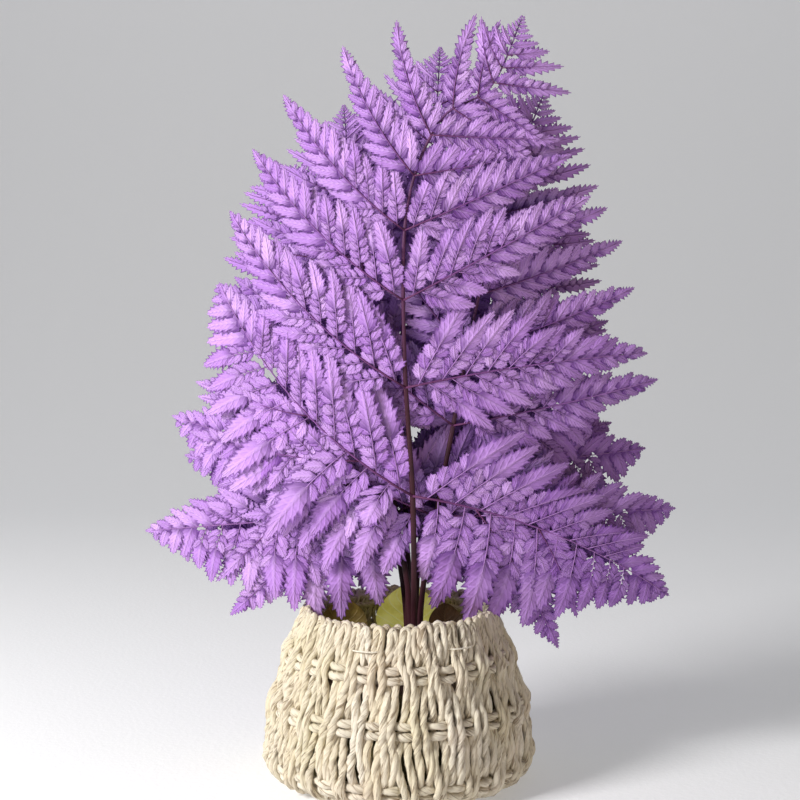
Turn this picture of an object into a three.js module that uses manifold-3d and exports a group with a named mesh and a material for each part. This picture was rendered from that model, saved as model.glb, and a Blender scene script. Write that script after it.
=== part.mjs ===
// A bunch of dyed, dried leatherleaf fern standing in a round belly basket of twisted husk cord.
// Lengths are millimetres and angles are degrees. +Z is up, the fronds face -Y, and the origin is
// the centre of the basket's flat base.

import * as THREE from 'three';
import { mergeVertices } from 'three/addons/utils/BufferGeometryUtils.js';
import Module from 'manifold-3d';

// ---- Driving dimensions: the basket

const basketHeight = 118;
const baseRadius = 78;
const bellyRadius = 94;
const bellyHeight = 30;
const rimRadius = 69;
const wallThickness = 5;
const baseThickness = 6;
const rimCordRadius = 4;
const weftHeights = [14, 55, 89];
const weftCordWidth = 6;
const weftRelief = 2.6;
const threadRadius = 0.6;
const threadDrop = 3.5;

// ---- Driving dimensions: the foam block that grips the stems

const foamTopBelowRim = 42;
const foamClearance = 4;
const stemDepthInFoam = 50;
const stemHoleClearance = 0.4;

// ---- Driving dimensions: the fern

const fernHeight = 410;
const fernHalfSpread = 192;
const stipeRadius = 2.1;
const rachisTipRadius = 0.5;
const leafThickness = 1.2;
const stemSpacing = 2.8;
const fanSlope = 0.045;
const archDepth = 34;
const wrapDepth = 25;
const pinnaPairs = 9;
const pinnaStep = 0.79;
const pinnaReach = 0.57;
const pinnaTaper = 0.8;
const pinnaFill = 0.86;
const pinnuleAngle = 38;
const basalPinnules = [
  { place: 0.25, share: 0.6, bend: 0.5 },
  { place: 0.5, share: 0.36, bend: 0.5 },
];
const pinnuleSlenderness = 6;
const pinnaSlenderness = 4;
const habitSettles = 0.37;
const crownFrom = 0.5;
const crownWidth = 0.014;
const stemReach = 0.97;

// ---- Driving dimensions: the round leaves at the mouth

const mouthLeafThickness = 1.4;
const mouthLeafStalk = 1.3;
const mouthLeafDepthInFoam = 30;
const mouthLeafTilt = 0.12;

// ---- Clearances and fineness

const touchGap = 0.3;
const roundSteps = 32;
const stemSides = 6;
const stemSteps = 17;
const degrees = Math.PI / 180;

// Each frond's rachis, from the rim up: [share of the half spread, share of the fern's height].
// The second place is the collar, where the blade begins. A side's pinnae leave the rachis at the
// angle `low` at the collar and `high` further up, and bend by `lowBend` and `highBend` on their
// way out: a positive bend droops, a negative one arches up. `crown` shortens the topmost pinnae.
// A lower page stands nearer the front.
const fronds = [
  {
    name: 'frond_1',
    page: -3,
    rachis: [[0.056, 0], [0.05, 0.205], [0.02, 0.45], [0.03, 0.68], [0.145, 0.82], [0.32, 0.875], [0.44, 1]],
    left: { low: 58, high: 58, lowBend: -36, highBend: -25, crown: 1 },
    right: { low: 100, high: 64, lowBend: 28, highBend: -4, crown: 0.3 },
  },
  {
    name: 'frond_2',
    page: -2,
    rachis: [[0.08, 0], [0.135, 0.166], [0.21, 0.356], [0.29, 0.546], [0.395, 0.725], [0.53, 0.89]],
    left: { low: 75, high: 55, lowBend: -10, highBend: -15, crown: 0.6 },
    right: { low: 80, high: 62, lowBend: 0, highBend: -8, crown: 0.8 },
  },
  {
    name: 'frond_3',
    page: -1,
    rachis: [[0.042, 0], [-0.01, 0.17], [-0.05, 0.356], [-0.115, 0.546], [-0.17, 0.713], [-0.2, 0.87]],
    left: { low: 84, high: 66, lowBend: 4, highBend: -14, crown: 0.5 },
    right: { low: 70, high: 55, lowBend: -5, highBend: -10, crown: 0.5 },
  },
  {
    name: 'frond_4',
    page: 0,
    rachis: [[0.036, 0], [0.026, 0.225], [0.06, 0.44], [0.105, 0.653], [0.135, 0.82], [0.156, 0.98]],
    left: { low: 80, high: 58, lowBend: -6, highBend: -16, crown: 0.6 },
    right: { low: 82, high: 60, lowBend: 2, highBend: -10, crown: 0.5 },
  },
  {
    name: 'frond_5',
    page: 1,
    rachis: [[0.026, 0], [-0.05, 0.19], [-0.145, 0.356], [-0.26, 0.52], [-0.375, 0.665], [-0.475, 0.786]],
    left: { low: 80, high: 60, lowBend: 0, highBend: -12, crown: 0.5 },
    right: { low: 75, high: 55, lowBend: -5, highBend: -12, crown: 0.5 },
  },
  {
    name: 'frond_6',
    page: 2,
    rachis: [[0.065, 0], [0.105, 0.178], [0.23, 0.333], [0.385, 0.475], [0.54, 0.6], [0.68, 0.708]],
    left: { low: 75, high: 55, lowBend: -5, highBend: -10, crown: 0.5 },
    right: { low: 78, high: 60, lowBend: 5, highBend: -10, crown: 0.5 },
  },
  {
    name: 'frond_7',
    page: 3,
    rachis: [[0.047, 0], [0.01, 0.214], [-0.01, 0.43], [-0.03, 0.62], [-0.04, 0.77], [-0.052, 0.915]],
    left: { low: 80, high: 60, lowBend: 0, highBend: -12, crown: 0.5 },
    right: { low: 80, high: 60, lowBend: 0, highBend: -12, crown: 0.5 },
  },
];

// ---- Solids from closed three.js geometries

const wasm = await Module();
wasm.setup();

function toSolid(geometry) {
  const bare = geometry.clone();
  bare.deleteAttribute('normal');
  bare.deleteAttribute('uv');
  const merged = mergeVertices(bare, 1e-4);
  return new wasm.Manifold(new wasm.Mesh({
    numProp: 3,
    vertProperties: new Float32Array(merged.attributes.position.array),
    triVerts: new Uint32Array(merged.index.array),
  }));
}

function toGeometry(solid) {
  const mesh = solid.getMesh();
  const geometry = new THREE.BufferGeometry();
  geometry.setAttribute('position', new THREE.BufferAttribute(mesh.vertProperties, 3));
  geometry.setIndex(new THREE.BufferAttribute(mesh.triVerts, 1));
  geometry.computeVertexNormals();
  return geometry;
}

function turned(profile) {
  const points = profile.map(([radius, height]) => new THREE.Vector2(radius, height));
  const geometry = new THREE.LatheGeometry(points, roundSteps);
  geometry.rotateX(90 * degrees);
  return geometry;
}

// ---- The basket

const bellyRound = 4;
const shoulderRound = 1.4;

// Outer radius of the woven wall: full at the belly, drawn in to the base and to the rim.
function wallRadius(height) {
  if (height < bellyHeight) {
    const drop = (bellyHeight - height) / bellyHeight;
    return bellyRadius - (bellyRadius - baseRadius) * drop ** bellyRound;
  }
  const rise = (height - bellyHeight) / (basketHeight - bellyHeight);
  return bellyRadius - (bellyRadius - rimRadius) * rise ** shoulderRound;
}

const wallTop = basketHeight - 2 * rimCordRadius - touchGap;
const wallStations = 8;

function wallShell() {
  const heights = Array.from({ length: wallStations + 1 }, (_, i) => wallTop * i / wallStations);
  const outside = heights.map((height) => [wallRadius(height), height]);
  const inside = heights.map((height) => [wallRadius(height) - wallThickness, height]).reverse();
  return turned([...outside, ...inside, outside[0]]);
}

// Two cords side by side, wrapped round the wall.
function weftBand(height) {
  const place = (rise, out) => [wallRadius(height + rise) + touchGap + out, height + rise];
  const crest = weftCordWidth / 2;
  return turned([
    place(-weftCordWidth, 0),
    place(-crest, weftRelief),
    place(0, weftRelief / 2),
    place(crest, weftRelief),
    place(weftCordWidth, 0),
    place(0, 0),
    place(-weftCordWidth, 0),
  ]);
}

function ring(centreRadius, height, cordRadius, sides) {
  const profile = Array.from({ length: sides + 1 }, (_, i) => {
    const angle = (i % sides) * 2 * Math.PI / sides;
    return [centreRadius + cordRadius * Math.cos(angle), height + cordRadius * Math.sin(angle)];
  });
  return turned(profile);
}

function disc(radius, bottom, top) {
  return turned([[0, bottom], [radius, bottom], [radius, top], [0, top]]);
}

// ---- The fern's pages

const foamTop = basketHeight - foamTopBelowRim;
const stemPitch = 2 * stipeRadius + stemSpacing;

// Every frond lies on its own page, a gently curved sheet. The pages stand one behind the other,
// open like a fan with height, arch back at the top and wrap back at the sides.
function pageDepth(page, x, z) {
  const rise = Math.max(0, z - basketHeight);
  const pitch = stemPitch + fanSlope * rise;
  const arch = archDepth * (rise / fernHeight) ** 2;
  const wrap = wrapDepth * (x / fernHalfSpread) ** 2;
  return page * pitch + arch + wrap;
}

// The rachis as a curve in the page: x across, y for the height.
function stemCurve(frond) {
  const places = frond.rachis.map(([across, rise]) => new THREE.Vector3(
    across * fernHalfSpread,
    basketHeight + rise * fernHeight,
    0,
  ));
  const foot = new THREE.Vector3(places[0].x, foamTop - stemDepthInFoam, 0);
  const curve = new THREE.CatmullRomCurve3([foot, ...places], false, 'catmullrom', 0.5);
  curve.arcLengthDivisions = 400;
  return curve;
}

// The share of the stem's length at which the curve passes its collar.
function collarShare(frond, curve) {
  const lengths = curve.getLengths();
  const collarKnot = 2 / frond.rachis.length;
  return lengths[Math.round(collarKnot * curve.arcLengthDivisions)] / curve.getLength();
}

// A tapered tube along the stem. `grow` widens and deepens it, for the hole it stands in.
function stemTube(frond, grow) {
  const curve = stemCurve(frond);
  const geometry = new THREE.CylinderGeometry(1, 1, 1, stemSides, stemSteps);
  const position = geometry.attributes.position;
  for (let i = 0; i < position.count; i += 1) {
    const along = position.getY(i) + 0.5;
    const centre = curve.getPointAt(along * stemReach);
    const tangent = curve.getTangentAt(along * stemReach);
    const radius = THREE.MathUtils.lerp(stipeRadius, rachisTipRadius, along) + grow;
    const across = position.getX(i) * radius;
    const through = position.getZ(i) * radius;
    const x = centre.x + tangent.y * across;
    const z = centre.y - tangent.x * across - (along === 0 ? grow : 0);
    position.setXYZ(i, x, pageDepth(frond.page, centre.x, centre.y) - through, z);
  }
  return geometry;
}

// A thin leaf with a diamond section, moulded from a four-sided cone. `place(v)` gives the point
// and the direction of its midrib in the page, `widths(v)` its two half widths, and `depth(x, z)`
// the sheet that it lies on. `thickness` is measured through the midrib.
function leaf({ place, widths, depth, thickness, steps }) {
  const geometry = new THREE.ConeGeometry(1, 1, 4, steps);
  const position = geometry.attributes.position;
  for (let i = 0; i < position.count; i += 1) {
    const v = position.getY(i) + 0.5;
    const size = Math.max(1 - v, 1e-6);
    const across = Math.round(position.getX(i) / size);
    const through = Math.round(position.getZ(i) / size);
    const [right, left] = widths(v);
    const { x, z, heading } = place(v);
    const offset = across * (across > 0 ? right : left);
    const px = x + Math.cos(heading) * offset;
    const pz = z - Math.sin(heading) * offset;
    position.setXYZ(i, px, depth(px, pz) - through * thickness / 2, pz);
  }
  return geometry;
}

// A midrib that leaves (x, z) at `heading`, measured from straight up towards +X, and turns by
// `bend` on its way to `length`. It is known at 24 even steps, so at each ring of a leaf.
const midribSteps = 24;

function midrib(x, z, heading, bend, length) {
  const step = length / midribSteps;
  const points = [{ x, z, heading }];
  for (let i = 1; i <= midribSteps; i += 1) {
    const last = points[i - 1];
    const turn = heading + bend * i / midribSteps;
    points.push({
      x: last.x + Math.sin(turn) * step,
      z: last.z + Math.cos(turn) * step,
      heading: turn,
    });
  }
  return (v) => points[Math.round(v * midribSteps)];
}

// Half widths of a leaf that swells from its root to a quarter of its length, then runs to a point.
function leafOutline(rootWidth, halfWidth) {
  return (v) => {
    const swell = Math.sqrt(Math.min(1, 4 * v)) * (1 - v ** 2);
    const width = Math.max(rootWidth * (1 - v), halfWidth * swell);
    return [width, width];
  };
}

// The blade of a frond: a strip behind the rachis with its pinnae, all one piece.
function blade(frond) {
  const curve = stemCurve(frond);
  const collar = collarShare(frond, curve);
  const bladeLength = curve.getLength() * (1 - collar);
  const behindStem = stipeRadius + touchGap + leafThickness / 2;
  const depth = (x, z) => pageDepth(frond.page, x, z) + behindStem;
  const stripWidth = 1.4 * stipeRadius;

  const rachisAt = (u) => {
    const share = collar + (1 - collar) * u;
    const point = curve.getPointAt(share);
    const tangent = curve.getTangentAt(share);
    return { x: point.x, z: point.y, heading: Math.atan2(tangent.x, tangent.y) };
  };
  const crownStart = pinnaStep ** pinnaPairs;
  const strip = leaf({
    place: rachisAt,
    widths: (u) => {
      const crown = Math.sin(Math.PI * Math.min(1, (1 - u) / crownStart));
      const width = stripWidth * (1 - u) + crownWidth * bladeLength * Math.max(0, crown);
      return [width, width];
    },
    depth,
    thickness: leafThickness,
    steps: 12,
  });

  let solid = toSolid(strip);
  for (let pair = 0; pair < pinnaPairs; pair += 1) {
    const left = pinnaStep ** pair;
    const u = 1 - left;
    const root = rachisAt(u);
    const spacing = bladeLength * left * (1 - pinnaStep);
    const upward = Math.min(1, u / habitSettles);
    for (const [side, habit] of [[-1, frond.left], [1, frond.right]]) {
      const angle = THREE.MathUtils.lerp(habit.low, habit.high, upward) * degrees;
      const bend = side * THREE.MathUtils.lerp(habit.lowBend, habit.highBend, upward) * degrees;
      const shrink = 1 - habit.crown * Math.max(0, u - crownFrom) / (1 - crownFrom);
      const length = pinnaReach * bladeLength * left ** pinnaTaper * shrink;
      const halfWidth = Math.min(spacing * Math.sin(angle) * pinnaFill / 2, length / pinnaSlenderness);
      const heading = root.heading + side * angle;
      const place = midrib(root.x, root.z, heading, bend, length);
      solid = solid.add(toSolid(leaf({
        place,
        widths: leafOutline(stipeRadius, halfWidth),
        depth,
        thickness: leafThickness,
        steps: 4,
      })));
      if (pair > 0) continue;
      // The lowest pinna carries long pinnules on its lower side, the mark of a leatherleaf.
      for (const pinnule of basalPinnules) {
        const from = place(pinnule.place);
        const reach = length * pinnule.share;
        const lean = from.heading + side * pinnuleAngle * degrees;
        solid = solid.add(toSolid(leaf({
          place: midrib(from.x, from.z, lean, bend * pinnule.bend, reach),
          widths: leafOutline(stipeRadius, reach / pinnuleSlenderness),
          depth,
          thickness: leafThickness,
          steps: 4,
        })));
      }
    }
  }
  return solid;
}

// ---- Round leaves that stand in the mouth behind and beside the stems

const mouthRadius = rimRadius - 2 * rimCordRadius;
const mouthLeaves = [
  { name: 'mouth_leaf_back', across: 0.08 * mouthRadius, depth: 33, lean: 6, height: 58, roundness: 23 },
  { name: 'mouth_leaf_left', across: -0.52 * mouthRadius, depth: 10, lean: -14, height: 54, roundness: 16 },
  { name: 'mouth_leaf_right', across: 0.52 * mouthRadius, depth: 17, lean: 4, height: 48, roundness: 11 },
];

function mouthLeaf(spec, grow) {
  const foot = foamTop - mouthLeafDepthInFoam - grow;
  const length = spec.height + mouthLeafDepthInFoam + grow;
  const bladeShare = 2 * spec.roundness / length;
  return leaf({
    place: midrib(spec.across, foot, 0, spec.lean * degrees, length),
    widths: (v) => {
      const out = Math.max(0, (v - (1 - bladeShare)) / bladeShare);
      const width = mouthLeafStalk + grow + spec.roundness * Math.sin(Math.PI * Math.min(1, out)) ** 0.8;
      return [width, width];
    },
    depth: (x, z) => spec.depth + mouthLeafTilt * Math.max(0, z - foamTop),
    thickness: mouthLeafThickness + 2 * grow,
    steps: 12,
  });
}

// ---- Materials

const husk = { color: '#e3d8c2', roughness: 0.8 };
const huskShade = { color: '#c9b592', roughness: 0.85 };
const thread = { color: '#efe9da', roughness: 0.7 };
const foam = { color: '#5f5b3e', roughness: 0.95 };
const lilac = { color: '#ad84ca', roughness: 0.6 };
const maroon = { color: '#573a3e', roughness: 0.45 };
const olive = { color: '#a59a55', roughness: 0.6 };

const fern = new THREE.Group();
fern.name = 'dried_fern';

function addPiece(name, shape, look) {
  const geometry = shape instanceof THREE.BufferGeometry ? shape : toGeometry(shape);
  const material = new THREE.MeshStandardMaterial({ ...look, metalness: 0 });
  const mesh = new THREE.Mesh(geometry, material);
  mesh.name = name;
  fern.add(mesh);
}

// ---- Assembly: the basket

const baseDiscRadius = wallRadius(0) - wallThickness - touchGap;
addPiece('basket_base', disc(baseDiscRadius, 0, baseThickness), huskShade);
addPiece('basket_wall', wallShell(), huskShade);
['lower', 'middle', 'upper'].forEach((level, i) => {
  addPiece(`weft_band_${level}`, weftBand(weftHeights[i]), husk);
});
addPiece('rim_border', ring(rimRadius - rimCordRadius, basketHeight - rimCordRadius, rimCordRadius, 8), husk);
const threadHeight = wallTop - threadDrop;
const threadRingRadius = wallRadius(threadHeight) + touchGap + threadRadius;
addPiece('rim_thread', ring(threadRingRadius, threadHeight, threadRadius, 4), thread);

// ---- Assembly: the foam with a hole for each stem

const foamBottom = baseThickness + touchGap;
const foamRadius = Math.min(wallRadius(foamBottom), wallRadius(foamTop)) - wallThickness - foamClearance;
let foamBlock = toSolid(disc(foamRadius, foamBottom, foamTop));
for (const frond of fronds) {
  foamBlock = foamBlock.subtract(toSolid(stemTube(frond, stemHoleClearance)));
}
for (const spec of mouthLeaves) {
  foamBlock = foamBlock.subtract(toSolid(mouthLeaf(spec, stemHoleClearance)));
}
addPiece('foam_block', foamBlock, foam);

// ---- Assembly: the fronds and the mouth leaves

for (const frond of fronds) {
  addPiece(`${frond.name}_stem`, stemTube(frond, 0), maroon);
  addPiece(`${frond.name}_blade`, blade(frond), lilac);
}
for (const spec of mouthLeaves) {
  addPiece(spec.name, mouthLeaf(spec, 0), olive);
}

export default fern;
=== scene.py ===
# %% [markdown]
# # A bunch of dried leatherleaf fern in a husk-cord basket
#
# Seven dyed fronds stand in a low round basket. Each frond is lacy: its stem carries pinnae, a
# pinna carries pinnules, and a pinnule carries toothed leaflets. The basket is woven from
# twisted husk cord. Nothing here is carved from blocks. A leaf is a thin sheet and a cord is a
# section carried along a path, so every piece but the foam, which keeps its CAD shape, is worked
# out with numpy as a surface.

import bpy
import numpy as np
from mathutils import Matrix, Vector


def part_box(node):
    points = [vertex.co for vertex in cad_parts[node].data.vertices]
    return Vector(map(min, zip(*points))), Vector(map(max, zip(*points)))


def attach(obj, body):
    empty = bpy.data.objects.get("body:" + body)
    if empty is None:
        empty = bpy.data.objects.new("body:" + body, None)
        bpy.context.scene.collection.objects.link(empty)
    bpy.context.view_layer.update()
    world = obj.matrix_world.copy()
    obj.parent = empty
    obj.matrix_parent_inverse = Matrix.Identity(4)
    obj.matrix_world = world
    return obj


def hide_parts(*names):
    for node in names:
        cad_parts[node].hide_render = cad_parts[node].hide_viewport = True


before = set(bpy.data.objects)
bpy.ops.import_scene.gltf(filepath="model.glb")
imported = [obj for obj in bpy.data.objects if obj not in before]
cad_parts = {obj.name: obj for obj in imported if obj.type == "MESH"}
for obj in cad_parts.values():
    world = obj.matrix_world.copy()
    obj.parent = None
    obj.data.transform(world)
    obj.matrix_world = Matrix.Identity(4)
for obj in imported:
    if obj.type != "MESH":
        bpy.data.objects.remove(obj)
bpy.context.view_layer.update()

mm = 0.001
turn = 2 * np.pi
chance = np.random.default_rng(11)

# %% [markdown]
# ## Where the object is seen from
#
# The camera stands a metre in front of the basket, a little higher than the middle of the bunch,
# and looks slightly down. A long lens from a metre away keeps the upright stems straight.

# %% Camera
camera_place = (0.001, -1.0, 0.332)
degrees_down = 3.8

scene = bpy.context.scene
scene.view_settings.view_transform = "Standard"

camera = bpy.data.objects.new("camera", bpy.data.cameras.new("camera"))
camera.data.sensor_width = 36
camera.data.lens = 64.3
camera.location = camera_place
camera.rotation_euler = (np.radians(90 - degrees_down), 0, 0)
scene.collection.objects.link(camera)
scene.camera = camera
print("camera at", camera_place, "looking", degrees_down, "degrees down")

# %% [markdown]
# ## Light
#
# A soft panel on the left, in front and above, stands for a window. The room around is pale and
# dim. A weak warm panel low on the right keeps the shaded side of the basket cream.


# %% Window, fill and room
def soft_panel(name, place, target, size, watts, colour):
    """A square area light at a place, turned so that its face looks at a target."""
    lamp = bpy.data.lights.new(name, "AREA")
    lamp.size = size
    lamp.energy = watts
    lamp.color = colour
    panel = bpy.data.objects.new(name, lamp)
    panel.location = place
    away = np.array(place) - np.array(target)
    tilt = np.arctan2(np.hypot(away[0], away[1]), away[2])
    panel.rotation_euler = (tilt, 0, np.arctan2(away[0], -away[1]))
    scene.collection.objects.link(panel)
    print(f"{name}: {watts} W from", place)


fern_middle = (0, 0, 0.28)
basket_foot = (0, 0, 0.04)
soft_panel("window", (-1.2, -0.78, 0.9), fern_middle, 0.5, 32.5, (1.0, 0.985, 0.97))
soft_panel("fill", (1.1, -1.2, 0.05), basket_foot, 0.8, 4.2, (1.0, 0.68, 0.36))

room = bpy.data.worlds.new("pale_room")
room.use_nodes = True
room.node_tree.nodes["Background"].inputs["Color"].default_value = (0.80, 0.81, 0.83, 1)
room.node_tree.nodes["Background"].inputs["Strength"].default_value = 0.14
scene.world = room

# %% [markdown]
# ## From arrays to meshes
#
# Blender takes a mesh fastest as flat arrays. The function below turns grids of points into
# quads. Each point also carries a number that the finishes read, called shade.


# %% Grids of points become patches
def patch(points, uv, shade, finish=0, wrapped=False):
    """Quads over grids of points.

    points holds n grids of rows by columns. A wrapped grid is a tube: its last column joins its
    first, and a fan of triangles closes both ends. uv has one more column than a wrapped grid.
    """
    count, rows, columns = points.shape[:3]
    index = np.arange(count * rows * columns).reshape(count, rows, columns)
    if wrapped:
        index = np.concatenate([index, index[:, :, :1]], axis=2)
    uv = np.broadcast_to(uv, (*index.shape, 2))
    last = index.shape[2] - 1
    corners = [(0, 0), (1, 0), (1, 1), (0, 1)]
    spans = [(slice(None), slice(a, rows - 1 + a), slice(b, last + b)) for a, b in corners]
    made = {
        "points": points.reshape(-1, 3),
        "quads": np.stack([index[span] for span in spans], axis=-1).reshape(-1, 4),
        "quad_uv": np.stack([uv[span] for span in spans], axis=-2).reshape(-1, 2),
        "shade": np.broadcast_to(shade, (count, rows, columns)).reshape(-1),
        "tris": np.zeros((0, 3), int),
        "tri_uv": np.zeros((0, 2)),
        "finish": finish,
    }
    if wrapped:
        close_ends(made, points, index, uv)
    return made


def close_ends(made, points, index, uv):
    """Add a centre point to both ends of each tube, and the fan of triangles around it."""
    count, rows = points.shape[:2]
    first_new = len(made["points"])
    for end, row in enumerate((0, rows - 1)):
        centre = first_new + end * count + np.arange(count)
        ring = index[:, row]
        here, after = ring[:, :-1], ring[:, 1:]
        hub = np.broadcast_to(centre[:, None], here.shape)
        order = (hub, here, after) if end == 0 else (hub, after, here)
        fan = np.stack(order, axis=-1).reshape(-1, 3)
        fan_uv = np.repeat(uv[:, row, :-1].reshape(-1, 1, 2), 3, axis=1).reshape(-1, 2)
        hub_shade = made["shade"][ring[:, 0]]
        made["tris"] = np.concatenate([made["tris"], fan])
        made["tri_uv"] = np.concatenate([made["tri_uv"], fan_uv])
        made["points"] = np.concatenate([made["points"], points[:, row].mean(axis=1)])
        made["shade"] = np.concatenate([made["shade"], hub_shade])


flat = patch(np.zeros((1, 3, 4, 3)), np.zeros((3, 4, 2)), 0.5)
print("a sheet of 3 by 4 points has", len(flat["quads"]), "quads")

# %% [markdown]
# ## From patches to an object
#
# Another function joins patches into one object with its texture coordinates and its finishes.
# The object stays at the origin, unturned, with its place in its mesh. A piece that takes over
# from a CAD node hides that node, rides on a body and has its finishes as material slots.


# %% Patches become an object
def build(name, patches, finishes):
    """One mesh object from patches, with UVMap on its corners and shade on its points."""
    starts = np.cumsum([0] + [len(p["points"]) for p in patches])
    quads = np.concatenate([p["quads"] + s for p, s in zip(patches, starts)])
    tris = np.concatenate([p["tris"] + s for p, s in zip(patches, starts)])
    points = np.concatenate([p["points"] for p in patches])
    uv = np.concatenate([p["quad_uv"] for p in patches] + [p["tri_uv"] for p in patches])
    shade = np.concatenate([p["shade"] for p in patches])
    kinds = [np.full(len(p["quads"]), p["finish"]) for p in patches]
    kinds += [np.full(len(p["tris"]), p["finish"]) for p in patches]
    loops = np.concatenate([quads.ravel(), tris.ravel()])
    sizes = np.concatenate([np.full(len(quads), 4), np.full(len(tris), 3)])

    mesh = bpy.data.meshes.new(name)
    mesh.vertices.add(len(points))
    mesh.vertices.foreach_set("co", points.astype(np.float32).ravel())
    mesh.loops.add(len(loops))
    mesh.loops.foreach_set("vertex_index", loops.astype(np.int32))
    mesh.polygons.add(len(sizes))
    mesh.polygons.foreach_set("loop_start", (np.cumsum(sizes) - sizes).astype(np.int32))
    mesh.polygons.foreach_set("material_index", np.concatenate(kinds).astype(np.int32))
    mesh.update(calc_edges=True)
    mesh.uv_layers.new(name="UVMap").data.foreach_set("uv", uv.astype(np.float32).ravel())
    stored = mesh.attributes.new("shade", "FLOAT", "POINT")
    stored.data.foreach_set("value", shade.astype(np.float32))
    mesh.shade_smooth()
    mesh.validate()
    for finish in finishes:
        mesh.materials.append(finish)
    made = bpy.data.objects.new(name, mesh)
    scene.collection.objects.link(made)
    print(f"{name}: {2 * len(quads) + len(tris)} triangles")
    return made


def build_for(node, name, patches, finishes):
    """An object that takes over from a CAD node, rides on the one body and has its slot."""
    made = build(name, patches, finishes)
    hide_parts(node)
    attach(made, "root")


# %% [markdown]
# ## Paths
#
# A stem, a rib and a cord all follow a path. A smooth path runs through a few places, and it is
# then walked in even steps, so that its rows are equally far apart.


# %% Smooth paths
path_points = 1600


def smooth_path(places, count=path_points):
    """A Catmull-Rom curve: a cubic between neighbouring places, whose slope at each place is
    half the step from the place before to the place after."""
    places = np.asarray(places, float)
    held = np.vstack([2 * places[0] - places[1], places, 2 * places[-1] - places[-2]])
    run = np.linspace(0, len(places) - 1, count)
    knot = np.minimum(run.astype(int), len(places) - 2)
    f = (run - knot)[:, None]
    before, start, end, after = (held[knot + k] for k in range(4))
    leave, arrive = (end - before) / 2, (after - start) / 2
    return (
        (2 * f**3 - 3 * f**2 + 1) * start
        + (f**3 - 2 * f**2 + f) * leave
        + (3 * f**2 - 2 * f**3) * end
        + (f**3 - f**2) * arrive
    )


def distance_along(path):
    """How far each point of a path is from its start, measured along it."""
    steps = np.linalg.norm(np.diff(path, axis=-2), axis=-1)
    zero = np.zeros((*steps.shape[:-1], 1))
    return np.concatenate([zero, np.cumsum(steps, axis=-1)], axis=-1)


def even_steps(path, count):
    """The same path with its points spread evenly by length."""
    run = distance_along(path)
    wanted = np.linspace(0, run[-1], count)
    return np.stack([np.interp(wanted, run, path[:, k]) for k in range(path.shape[1])], axis=-1)


corner_path = smooth_path([[0.0, 0.0], [1.0, 0.0], [1.0, 1.0]])
print("a bend through three places a metre apart is", distance_along(corner_path)[-1], "m long")

# %% [markdown]
# ## Tubes
#
# A section carried along a path makes a tube. Turning the section as it goes twists it, which is
# how two plies of husk become one cord. Husk is twisted by hand, so a cord swells and thins, and
# its twist runs faster and slower.

# %% Tubes
uneven_twist = 0.8
uneven_over = 47 * mm
blur_divisor = 1.8


def unit(vectors):
    """Vectors scaled to length one."""
    return vectors / np.linalg.norm(vectors, axis=-1, keepdims=True)


def tubes(paths, radii, facing, section, twist=0.0, shade=0.5, finish=0, lumps=0.0):
    """Tubes along n paths: a point is centre + radius x section(angle) x direction(angle), where
    the direction turns with the angle from across the path to the facing side. twist is in turns
    per metre."""
    along = unit(np.gradient(paths, axis=-2))
    across = unit(np.cross(facing, along))
    front = np.cross(along, across)
    run = distance_along(paths)
    sides = len(section)
    angle = turn * np.arange(sides) / sides
    spin = angle + turn * twist * run[..., None]
    reach = (np.asarray(radii)[..., None] * section)[..., None]
    if lumps:
        reach = reach * lumpy(reach.shape, lumps)
        start = chance.uniform(0, turn, (len(paths), 1, 1))
        spin = spin + uneven_twist * np.sin(turn * run[..., None] / uneven_over + start)
    cosine, sine = np.cos(spin)[..., None], np.sin(spin)[..., None]
    way = cosine * across[..., None, :] + sine * front[..., None, :]
    points = paths[..., None, :] + reach * way
    around = np.broadcast_to(np.arange(sides + 1) / sides, (*run.shape, sides + 1))
    uv = np.stack([around, np.broadcast_to(run[..., None], around.shape)], axis=-1)
    if np.ndim(shade):
        shade = np.asarray(shade)[..., None]
    return outward(patch(points, uv, shade, finish, wrapped=True))


def lumpy(shape, amount):
    """Random swellings around 1 that last for a few rows along a tube."""
    noise = chance.normal(0, 1, shape)
    for shift in (1, 2):
        neighbours = np.roll(noise, shift, axis=1), np.roll(noise, -shift, axis=1)
        noise = (noise + neighbours[0] + neighbours[1]) / blur_divisor
    return 1 + amount * noise


def outward(made):
    """Turn the faces of a closed patch round if the volume they enclose comes out negative."""
    corner = made["points"][made["quads"]]
    first = np.einsum("ij,ij->i", corner[:, 0], np.cross(corner[:, 1], corner[:, 2]))
    second = np.einsum("ij,ij->i", corner[:, 0], np.cross(corner[:, 2], corner[:, 3]))
    if first.sum() + second.sum() < 0:
        made["quads"] = made["quads"][:, ::-1]
        made["quad_uv"] = made["quad_uv"].reshape(-1, 4, 2)[:, ::-1].reshape(-1, 2)
        made["tris"] = made["tris"][:, ::-1]
    return made


print("a cord's twist drifts by", uneven_twist, "of a radian over", uneven_over, "m")


# %% [markdown]
# A section is the tube's radius at even steps of the angle. One function gives a round stem, and
# another gives two plies that lie side by side.


# %% Sections
def round_section(sides):
    """A circle of radius one."""
    return np.ones(sides)


def two_ply_section(sides):
    """Two plies side by side: the radius is full across both plies and dips between them."""
    angle = turn * np.arange(sides) / sides
    return 0.64 + 0.36 * np.abs(np.cos(angle)) ** 0.75


up = np.array([0.0, 0.0, 1.0])
to_viewer = np.array([0.0, -1.0, 0.0])
print("radius around a two-ply cord:", two_ply_section(8).round(2))

# %% [markdown]
# ## Finishes written as sums
#
# A finish is a net of shader nodes. Writing it as arithmetic keeps it readable: the small class
# below wraps a node's output, so that a * b makes a Multiply node by itself.


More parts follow.
